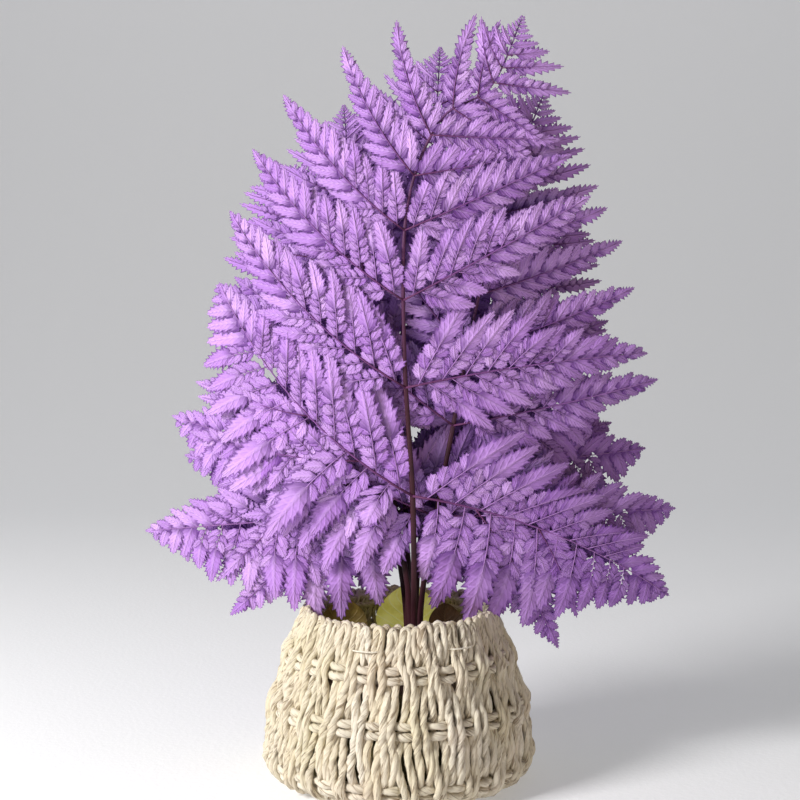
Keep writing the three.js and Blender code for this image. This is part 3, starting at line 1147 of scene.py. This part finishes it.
# %% Maroon stem
def maroon_stem():
    """Colours along the stem from foot to tip, with blotches and pale fibres on top. The pale
    fibres are partly painted highlight.
    """
    stem = Finish("maroon_stem", Specular_IOR_Level=0.32)
    around, along = stem.uv()
    fibre = stem.noise(stem.point(around * 16.0, along * 60.0, 0.0), 1.0, 4.0, 0.6)
    blotch = stem.noise(stem.place(), 60.0, 3.0)
    stops = [
        (0.0, colour(50, 14, 20)),
        (0.45, colour(60, 20, 36)),
        (0.8, colour(104, 54, 104)),
        (1.0, colour(150, 104, 178)),
    ]
    body = stem.ramp(stem.shade(), stops)
    body = stem.blend(stem.step(blotch, 0.45, 0.75) * 0.6, body, colour(34, 10, 18))
    # pale fibre streaks, which also serve as painted highlight along the stem
    body = stem.blend(stem.step(fibre, 0.60, 0.8) * 0.3, body, colour(160, 118, 112))
    rough = 0.34 + fibre * 0.3
    return stem.finish(body, rough, fibre + blotch * 0.5, 0.25 * mm)


stem_finish = maroon_stem()

# %% [markdown]
# ## Stems
#
# Each stem follows its page from the foam to the tip of its frond. It has a shallow groove down
# its front and swells and thins a little, as a dried stalk does.

# %% Grooved stems
stem_stations = 90
stem_ends_at = 0.985
thicker_at_foot = 1.2
stem_tip_radius = 0.45 * mm


def grooved_section(sides):
    """A circle with a shallow dip on its front, at a quarter turn."""
    off_front = np.angle(np.exp(1j * (turn * np.arange(sides) / sides - turn / 4)))
    return 1 - 0.22 * np.exp(-((off_front / 0.45) ** 2))


def grow_stem(number, frond):
    """A stem along its page, tapering evenly to less than a fifth of its width."""
    path = stem_path(frond)[0]
    share = np.linspace(0, 1, stem_stations)
    centre = path[(share * stem_ends_at * (len(path) - 1)).astype(int)]
    points = lifted(frond["page"], centre[:, 0], centre[:, 1], 0.0)[None]
    radii = (thicker_at_foot * stem_radius * (1 - share) + stem_tip_radius * share)[None]
    radii = radii * (1 + 0.05 * np.sin(share * 40 + number))
    tube = tubes(points, radii, to_viewer, grooved_section(12), shade=share[None])
    build_for(
        f"frond_{number}_stem", f"fern_stem_{number}", [tube], [stem_finish]
    )


for number, frond in enumerate(fronds, start=1):
    grow_stem(number, frond)

# %% [markdown]
# ## Husk cord
#
# The basket is woven from corn-husk cord: two plies of flat, papery leaf twisted together. The
# fibres run along the plies and the cream is streaked with yellow and grey-brown. The groove
# between the plies and the creases are painted darker, as painted shade. The tube's own texture
# coordinates follow the twist, so streaks drawn on them spiral with the plies.


# %% Cord finish
def husk_cord():
    """Cream clouds, then brown fibres, then painted shade in the creases and in the groove."""
    cord = Finish("husk_cord", Specular_IOR_Level=0.25, Sheen_Weight=0.1)
    around, along = cord.uv()
    tint = cord.shade()
    fibre = cord.noise(cord.point(around * 20.0, along * 130.0, tint * 40.0), 1.0, 5.0, 0.65)
    crease = cord.noise(cord.point(around * 9.0, along * 75.0, tint * 25.0), 1.0, 3.0, 0.55)
    cloud = cord.noise(cord.place(), 26.0, 3.0, 0.5)
    groove = 1.0 - cord.maths("ABSOLUTE", cord.maths("COSINE", around * turn))
    # painted shade in the groove between the plies, broken up by the fibres
    groove_shade = cord.step(groove + fibre * 0.7 - 0.35, 0.66, 1.0)

    body = cord.blend(tint, colour(232, 219, 192), colour(242, 234, 216))
    body = cord.blend(cord.step(cloud, 0.48, 0.72) * 0.4, body, colour(228, 218, 176))
    body = cord.blend((1.0 - cord.step(cloud, 0.30, 0.50)) * 0.3, body, colour(228, 208, 192))
    body = cord.blend(cord.step(fibre, 0.52, 0.66) * 0.5, body, colour(176, 154, 118))
    # painted shade in the creases
    body = cord.blend(cord.step(crease, 0.57, 0.66) * 0.7, body, colour(124, 100, 70))
    # painted shade in the groove
    body = cord.blend(groove_shade * 0.5, body, colour(150, 126, 92))

    height = fibre * 0.8 + crease * 1.1
    return cord.finish(body, 0.72 + fibre * 0.15, height, 1.5 * mm)


cord_finish = husk_cord()

# %% [markdown]
# ## The basket's shape
#
# The wall swells to a belly low down and draws in to the rim. Its outline is read off the CAD
# pieces that it replaces, and every cord is laid relative to it.

# %% Wall outline
levels = ("lower", "middle", "upper")
band_boxes = [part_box(f"weft_band_{level}") for level in levels]
band_heights = [(low.z + high.z) / 2 for low, high in band_boxes]
belly_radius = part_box("basket_wall")[1].x
rim_radius = rim_high.x
foot_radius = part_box("basket_base")[1].x + 5.3 * mm
belly_height = 30 * mm
print("belly, rim and foot radius:", belly_radius, rim_radius, foot_radius)
print("weft heights:", band_heights)


def wall_radius(height):
    """Full at the belly, less a fourth power of the drop below it and a 1.4th power of the rise."""
    drop = np.clip((belly_height - height) / belly_height, 0, 1)
    rise = np.clip((height - belly_height) / (rim_top - belly_height), 0, 1)
    draws_in_low = (belly_radius - foot_radius) * drop**4
    draws_in_high = (belly_radius - rim_radius) * rise**1.4
    return belly_radius - draws_in_low - draws_in_high


def at(radius, angle, height):
    """Points from a radius, an angle that is 0 at the front, and a height."""
    x, y = radius * np.sin(angle), -radius * np.cos(angle)
    return np.stack(np.broadcast_arrays(x, y, height), axis=-1)


# %% [markdown]
# ## Stakes over and under
#
# The uprights are cords folded in two at the rim, so each makes a tall hairpin. Hairpins pass in
# front of a weft band and behind it in turn, and the next hairpin does the opposite. Hand-plaited
# cord wanders, so each leg drifts sideways a little and spreads from its partner between the bands.

# %% Where a stake runs
hairpins = 52
leg_rows = 60
loop_rows = 9
cord_radius = 3.1 * mm
cord_twist = 31.0
weave_depth = 3.2 * mm
weave_width = 8.5 * mm
rim_bulge = 3 * mm
loop_top = 5.0 * mm
half_loop = np.linspace(0, np.pi, loop_rows + 2)[1:-1]


def band_pull(height, width):
    """How strongly each band holds a cord at a height: 1 at the band, and 0 away from it."""
    return [np.exp(-(((height - band) / width) ** 2)) for band in band_heights]


def wander(count, height, spread, waves):
    """A smooth random drift with height: a sum of slow waves with random sizes and starts."""
    drift = np.zeros((count, len(height)))
    for wave in waves:
        size = chance.normal(0, spread, (count, 1))
        start = chance.uniform(0, turn, (count, 1))
        drift += size * np.sin(turn * wave * height[None, :] / rim_top + start)
    return drift


def leg_outline():
    """Radius and height of a leg: flat under the base, round the foot and up the wall."""
    under = np.array([
        [foot_radius - 14 * mm, 3.6 * mm],
        [foot_radius - 5 * mm, 3.6 * mm],
        [foot_radius + 2.5 * mm, 4.4 * mm],
    ])
    heights = np.linspace(8 * mm, rim_top - 7.5 * mm + rim_bulge, 14)
    wall = np.stack([wall_radius(heights) - 2.5 * mm, heights], axis=1)
    outline = even_steps(smooth_path(np.vstack([under, wall])), leg_rows)
    return outline[:, 0], outline[:, 1]


print("a leg runs to a height of", round(float(leg_outline()[1][-1]), 4), "m")


# %% [markdown]
# The two legs of a hairpin and the half loop between them make one path, so the cord runs on
# through the loop. The loops differ in size, height and tilt.


# %% Stakes
def stake_paths():
    """Each hairpin runs up one leg, over a half loop, and down the other leg. Also gives the
    height along it."""
    radius, height = leg_outline()
    middle_angle = turn * (np.arange(hairpins)[:, None] + 0.5) / hairpins
    loop_size = 1 + chance.normal(0, 0.12, (hairpins, 1))
    loop_rise = chance.normal(0, 0.7 * mm, (hairpins, 1))
    loop_tilt = chance.normal(0, 0.9 * mm, (hairpins, 1))
    parity = np.where(np.arange(hairpins) % 2 == 0, 1.0, -1.0)[:, None]
    lower, centre, upper = band_pull(height, weave_width)
    over = parity * (lower - centre + upper)[None, :]
    quarter = turn * radius / hairpins / 4
    held = np.maximum(0, over)
    free = np.clip((rim_top - height) / (30 * mm), 0, 1)
    drift = wander(hairpins, height, 1.25 * mm, (0.8, 1.7)) * free
    near_top = np.clip((height - (rim_top - 22 * mm)) / (16 * mm), 0, 1)

    legs = []
    for leg in (-1, 1):
        apart = quarter * (1.12 - 0.22 * held) + wander(hairpins, height, 0.65 * mm, (1.5, 2.9))
        apart = apart * (1 - near_top) + 2.2 * mm * loop_size * near_top
        sideways = drift + leg * apart + loop_tilt * near_top
        out = radius + weave_depth * over + wander(hairpins, height, 0.35 * mm, (1.2, 2.6))
        rise = height + loop_rise * near_top
        legs.append(at(out, middle_angle + sideways / radius, rise))
    # the half loop over the rim leans inwards as it goes over
    top_radius, top_height = radius[-1], height[-1] + loop_rise
    loop_radius = top_radius - 2.0 * mm * np.sin(half_loop)
    loop_height = top_height + loop_top * loop_size * np.sin(half_loop)
    loop_side = loop_tilt - 2.2 * mm * loop_size * np.cos(half_loop)
    loops = at(loop_radius, middle_angle + loop_side / top_radius, loop_height)
    paths = np.concatenate([legs[0], loops, legs[1][:, ::-1]], axis=1)
    tall = [height, height[-1] + loop_top * np.sin(half_loop), height[::-1]]
    return paths, np.concatenate(tall)


def stake_radii(tall):
    """The cord's radius, less 0.14 of it towards the rim, times a random size for each hairpin,
    times a slow swelling along it."""
    slimming = 1 - 0.14 * np.clip((tall - 60 * mm) / (rim_top - 60 * mm), 0, 1)
    radii = cord_radius * slimming * (1 + chance.normal(0, 0.05, (hairpins, 1)))
    start = chance.uniform(0, turn, (hairpins, 1))
    return radii * (1 + 0.06 * np.sin(turn * tall / (17 * mm) + start))


paths, tall = stake_paths()
thickness = stake_radii(tall)
outwards = unit(paths * np.array([1.0, 1.0, 0.0]))
tint = np.broadcast_to(chance.uniform(0, 1, (hairpins, 1)), paths.shape[:2])
stakes = tubes(paths, thickness, outwards, two_ply_section(12), cord_twist, tint, lumps=0.11)
print("stakes:", len(paths), "hairpins of", paths.shape[1], "rows")

# %% [markdown]
# ## The rolled rim
#
# Inside the rim a second row of short hairpins tucks the ends away. Two cords run round inside the
# roll and give it its thickness.

# %% Rim roll
short_rows = 12
short_side = 2.0 * mm


def inner_hairpins():
    """Short hairpins inside the rim, half a step out of line with the outer ones."""
    height = np.linspace(rim_top - 30 * mm, rim_top - 6.5 * mm + rim_bulge, short_rows)
    radius = wall_radius(height) - 8.2 * mm
    middle_angle = turn * np.arange(hairpins)[:, None] / hairpins
    straight = np.full(short_rows, short_side)
    side = np.concatenate([-straight, -short_side * np.cos(half_loop), straight])
    tall = [height, height[-1] + 4.4 * mm * np.sin(half_loop), height[::-1]]
    tall = np.concatenate(tall)
    deep = [radius, radius[-1] + 2.0 * mm * np.sin(half_loop), radius[::-1]]
    deep = np.concatenate(deep)
    drift = wander(hairpins, tall, 0.5 * mm, (2.0, 5.0))
    return at(deep, middle_angle + (side + drift) / deep, tall)


def hoop(radius, height, rows, wave=None):
    """A closed ring path whose end overlaps its start by one step."""
    angle = turn * np.arange(rows + 1) / rows
    radius = radius + (wave(angle) if wave else 0)
    return at(radius, angle, np.full_like(angle, height))[None]


def plain_cord(paths, radius, facing, sides, shade, twist=cord_twist, lumps=0.05):
    """Two-ply cords of one radius along some paths."""
    radii = np.full(paths.shape[:2], radius)
    return tubes(paths, radii, facing, two_ply_section(sides), twist, shade, lumps=lumps)


short_paths = inner_hairpins()
short_tint = np.broadcast_to(chance.uniform(0, 0.8, (hairpins, 1)), short_paths.shape[:2])
short_facing = unit(short_paths * [1.0, 1.0, 0.0])
inner = plain_cord(short_paths, 2.1 * mm, short_facing, 8, short_tint)
upper_core = hoop(rim_radius - 6.2 * mm, rim_top - 3.2 * mm, 150)
lower_core = hoop(rim_radius - 5.8 * mm, rim_top - 9.5 * mm, 150)
core = plain_cord(np.concatenate([upper_core, lower_core]), 2.4 * mm, up, 8, 0.4)

build_for("basket_wall", "basket_stakes", [stakes], [cord_finish])
build_for("rim_border", "basket_rim_roll", [inner, core], [cord_finish])

# %% [markdown]
# ## Weft bands
#
# Each band is two cords that lie one on the other and run round the basket, behind one hairpin and
# in front of the next. They press into the wall where a hairpin crosses in front of them.

# %% Weft cords
weft_rows = 312
weft_twist = 40.0
weft_radius = 3.0 * mm
weft_rise = 2.9 * mm
weft_inset = 2.9 * mm
weft_wave = 1.9 * mm
weft_sway = 0.5 * mm


def weft(level, band):
    """Two closed cords whose radius waves once for every two hairpins, and whose height sways
    three times round the basket."""
    flip = -1.0 if level == "middle" else 1.0

    def in_and_out(angle):
        return -flip * weft_wave * np.sin(angle * hairpins / 2)

    paths = []
    for rise in (-weft_rise, weft_rise):
        height = band + rise
        path = hoop(wall_radius(height) - weft_inset, height, weft_rows, in_and_out)
        sway = np.sin(3 * turn * np.arange(weft_rows + 1) / weft_rows + 900 * rise)
        paths.append(path + (weft_sway * sway)[:, None] * up)
    paths = np.concatenate(paths)
    tint = np.array([[0.85], [0.7]]) * np.ones(paths.shape[:2])
    cords = plain_cord(paths, weft_radius, up, 10, tint, twist=weft_twist, lumps=0.06)
    build_for(f"weft_band_{level}", f"weft_cords_{level}", [cords], [cord_finish])


for level, band in zip(levels, band_heights):
    weft(level, band)

# %% [markdown]
# ## The base
#
# The base is a flat coil of the same cord, sewn turn to turn.

# %% Coiled base
coil_pitch = 5.0 * mm
coil_height = 3.1 * mm


def coil():
    """A flat spiral: the radius grows by one cord width in each turn."""
    turns = (foot_radius - 12 * mm) / coil_pitch
    angle = turn * np.linspace(0.6, turns, 1000)
    return at(coil_pitch * angle / turn, angle, np.full_like(angle, coil_height))


coil_path = even_steps(coil(), 760)[None]
coil_cord = plain_cord(coil_path, 2.6 * mm, up, 8, 0.5)
build_for("basket_base", "basket_base_coil", [coil_cord], [cord_finish])

# %% [markdown]
# ## The thread under the rim
#
# Under the rim a thin pale thread ties the hairpins down. It shows only where it passes in front
# of them.

# %% Rim thread
thread_low, thread_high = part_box("rim_thread")
thread_height = (thread_low.z + thread_high.z) / 2 - 2 * mm
thread_radius = 0.55 * mm
thread_inset = 1.2 * mm


def thread_wave(angle):
    """The thread passes in front of two short runs of hairpins, and behind the rest."""
    runs = np.exp(-(((angle - 5.98) / 0.15) ** 4)) + np.exp(-(((angle - 0.62) / 0.14) ** 4))
    return (-2.6 + 5.6 * np.minimum(1, runs)) * mm


def pale_thread():
    """A spun thread, in two tones of cream that change every millimetre."""
    thread = Finish("rim_thread", Specular_IOR_Level=0.4)
    spun = thread.noise(thread.place(), 900.0, 2.0)
    body = thread.blend(spun, colour(214, 204, 180), colour(250, 246, 234))
    return thread.finish(body, 0.5 + spun * 0.3, spun, 0.3 * mm)


thread_path = hoop(wall_radius(thread_height) - thread_inset, thread_height, 260, thread_wave)
thread_radii = np.full(thread_path.shape[:2], thread_radius)
thread_tube = tubes(thread_path, thread_radii, up, round_section(6))
build_for("rim_thread", "rim_thread_tie", [thread_tube], [pale_thread()])

# %% [markdown]
# ## What holds the stems
#
# A block of dry foam fills the basket. Its CAD shape is right already, so it stays and only gets a
# finish: crumbly, in two tones of olive brown, and full of pinprick pores.


# %% Foam finish
def dry_foam():
    """Crumbs in two tones, with pores darkened by painted shade."""
    foam = Finish("dry_foam", Specular_IOR_Level=0.15)
    pores = foam.node("ShaderNodeTexVoronoi", {}, {"Vector": foam.place(), "Scale": 900.0})
    crumbs = foam.noise(foam.place(), 160.0, 4.0, 0.7)
    body = foam.blend(crumbs, colour(104, 94, 62), colour(150, 138, 98))
    # painted shade in the pores
    body = foam.blend(foam.step(pores, 0.35, 0.1) * 0.6, body, colour(40, 38, 24))
    return foam.finish(body, 0.9 + crumbs * 0.08, pores * 0.6 + crumbs, 1.2 * mm)


foam_material = dry_foam()
for slot in bpy.data.objects["foam_block"].material_slots:
    slot.material = foam_material

# %% [markdown]
# ## Finish of the round leaves
#
# Three rounded, leathery leaves stand in the basket's mouth. One is olive and thin enough to let
# light through, one is a brownish olive, and one is dry and brown. The olive one and the brownish
# olive one glow a little in their own colour, painted light for the light that comes through them.


# %% Olive, umber and bark
def round_leaf_finish(name, deep, light, vein_colour, painted_glow=0.0):
    """Two tones in clouds with pale veins. `painted_glow` is painted light: an emission in the
    leaf's colour that stands in for the light that comes through a thin leaf.
    """
    leaf = Finish(name, Specular_IOR_Level=0.4, Emission_Strength=painted_glow)
    across, along = leaf.uv()
    off_rib = leaf.maths("ABSOLUTE", across - 0.5) * 2.0
    slant = along * 7.0 - off_rib * 3.0
    vein = (leaf.maths("SINE", slant * turn) * 0.5 + 0.5) ** 14.0
    rib = 1.0 - leaf.step(off_rib, 0.015, 0.06)
    cloud = leaf.noise(leaf.place(), 70.0, 4.0, 0.6)
    grain = leaf.noise(leaf.place(), 600.0, 3.0, 0.6)
    body = leaf.blend(leaf.step(cloud, 0.3, 0.7), deep, light)
    body = leaf.blend(leaf.step(off_rib, 0.8, 1.0) * 0.4, body, deep)
    body = leaf.blend(rib * 0.6 + vein * 0.35, body, vein_colour)
    # the leaf glows in its own colour: painted light
    leaf.put(leaf.shader.inputs["Emission Color"], body)
    return leaf.finish(body, 0.42 + grain * 0.25, rib + vein * 0.6 + grain * 0.25, 0.5 * mm)


# the last number of each is its painted glow
olive = round_leaf_finish(
    "olive_leaf", colour(216, 210, 96), colour(244, 240, 140), colour(248, 246, 186), 0.28
)
umber = round_leaf_finish(
    "umber_leaf", colour(104, 84, 32), colour(158, 134, 62), colour(166, 146, 84), 0.10
)
bark = round_leaf_finish(
    "bark_leaf", colour(78, 54, 34), colour(120, 88, 56), colour(138, 108, 72)
)

# %% [markdown]
# ## Round leaves in the mouth
#
# The leaves stand behind and beside the stems. Each is a cupped sheet with a midrib and side
# veins, on a short stalk that runs into the foam.

# %% Mouth leaves
lean_back = 0.12
tip_clearance = 7 * mm
stalk_rows = 20
# the CAD leaf, its finish, and how deep it is cupped as a share of its half width
mouth_leaves = (
    ("mouth_leaf_back", olive, 0.16),
    ("mouth_leaf_left", umber, 0.20),
    ("mouth_leaf_right", bark, 0.22),
)


def leaf_stalk(foot, blade_start):
    """A tapering stalk from the foot in the foam to the start of the blade."""
    knee = [foot[0], foot[1] + 0.3 * mm, foam_top]
    end = [foot[0], foot[1] + lean_back * (blade_start - foam_top), blade_start + 2 * mm]
    path = even_steps(smooth_path([foot, knee, end]), stalk_rows)[None]
    radii = np.linspace(1.3, 0.8, stalk_rows)[None] * mm
    return tubes(path, radii, to_viewer, round_section(8))


def round_leaf(node, finish, cup):
    """An obovate sheet on the CAD leaf's axis: its half width is that of the CAD leaf times
    sin(pi t^1.15)^0.62, cupped across and waved along its edge, on a stalk."""
    low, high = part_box(node)
    width = (high.x - low.x) / 2
    tip = high.z - tip_clearance
    blade_start = foam_top + max(4 * mm, tip - foam_top - 2.15 * width)
    foot = np.array([(low.x + high.x) / 2, low.y + 1.0 * mm, low.z + 1 * mm])
    t = np.linspace(0, 1, 33)[:, None]
    s = np.linspace(1, -1, 17)[None, :]
    half = width * np.maximum(np.sin(np.pi * np.minimum(t, 0.9995) ** 1.15) ** 0.62, 0.02)
    x = foot[0] + half * s
    z = blade_start + (tip - blade_start) * (t - 0.05 * s**2 * np.sin(np.pi * t))
    depth = lean_back * (z - foam_top)
    ripple = 0.05 * width * np.sin(9 * t + 2 * s) * np.abs(s)
    y = foot[1] + depth - cup * width * (s**2) * np.sin(np.pi * t) + ripple
    uv = np.stack(np.broadcast_arrays((s + 1) / 2, t), axis=-1)
    sheet = patch(np.stack([x, y, z], axis=-1)[None], uv, 0.5)
    stalk = leaf_stalk(foot, blade_start)
    build_for(node, node + "_sheet", [sheet, stalk], [finish])


for node, finish, cup in mouth_leaves:
    round_leaf(node, finish, cup)

# %% [markdown]
# ## The floor
#
# A plain pale sheet. Far behind the basket it sweeps up in a quarter circle, so there is no line
# between the floor and the background.

# %% Floor and sweep
floor_level = -0.3 * mm
floor_half = 12
bend_start = 1.3
bend_radius = 1.6
backdrop_top = 6.0


def pale_floor():
    """A pale cloth with faint specks and a little light of its own."""
    cloth = Finish("pale_floor", Specular_IOR_Level=0.2, Emission_Strength=0.25)
    cloth.shader.inputs["Emission Color"].default_value = (0.9, 0.91, 0.93, 1)
    speck = cloth.noise(cloth.place(), 220.0, 3.0)
    body = cloth.blend(speck, colour(226, 226, 228), colour(236, 236, 238))
    return cloth.finish(body, 0.85 + speck * 0.1, speck, 0.3 * mm)


def sweep():
    """A profile carried from left to right: flat, then a quarter circle, then upright."""
    angle = np.linspace(0, turn / 4, 24)
    arc_y = bend_start + bend_radius * np.sin(angle)
    arc_z = bend_radius * (1 - np.cos(angle))
    y = np.concatenate([[-floor_half, 0.0], arc_y, [bend_start + bend_radius]])
    z = np.concatenate([[0.0, 0.0], arc_z, [backdrop_top]]) + floor_level
    x, y, z = np.broadcast_arrays(np.linspace(floor_half, -floor_half, 3), y[:, None], z[:, None])
    uv = np.stack([x, y], axis=-1) / (2 * floor_half)
    return patch(np.stack([x, y, z], axis=-1)[None], uv, 0.5)


floor = build("floor", [sweep()], [pale_floor()])
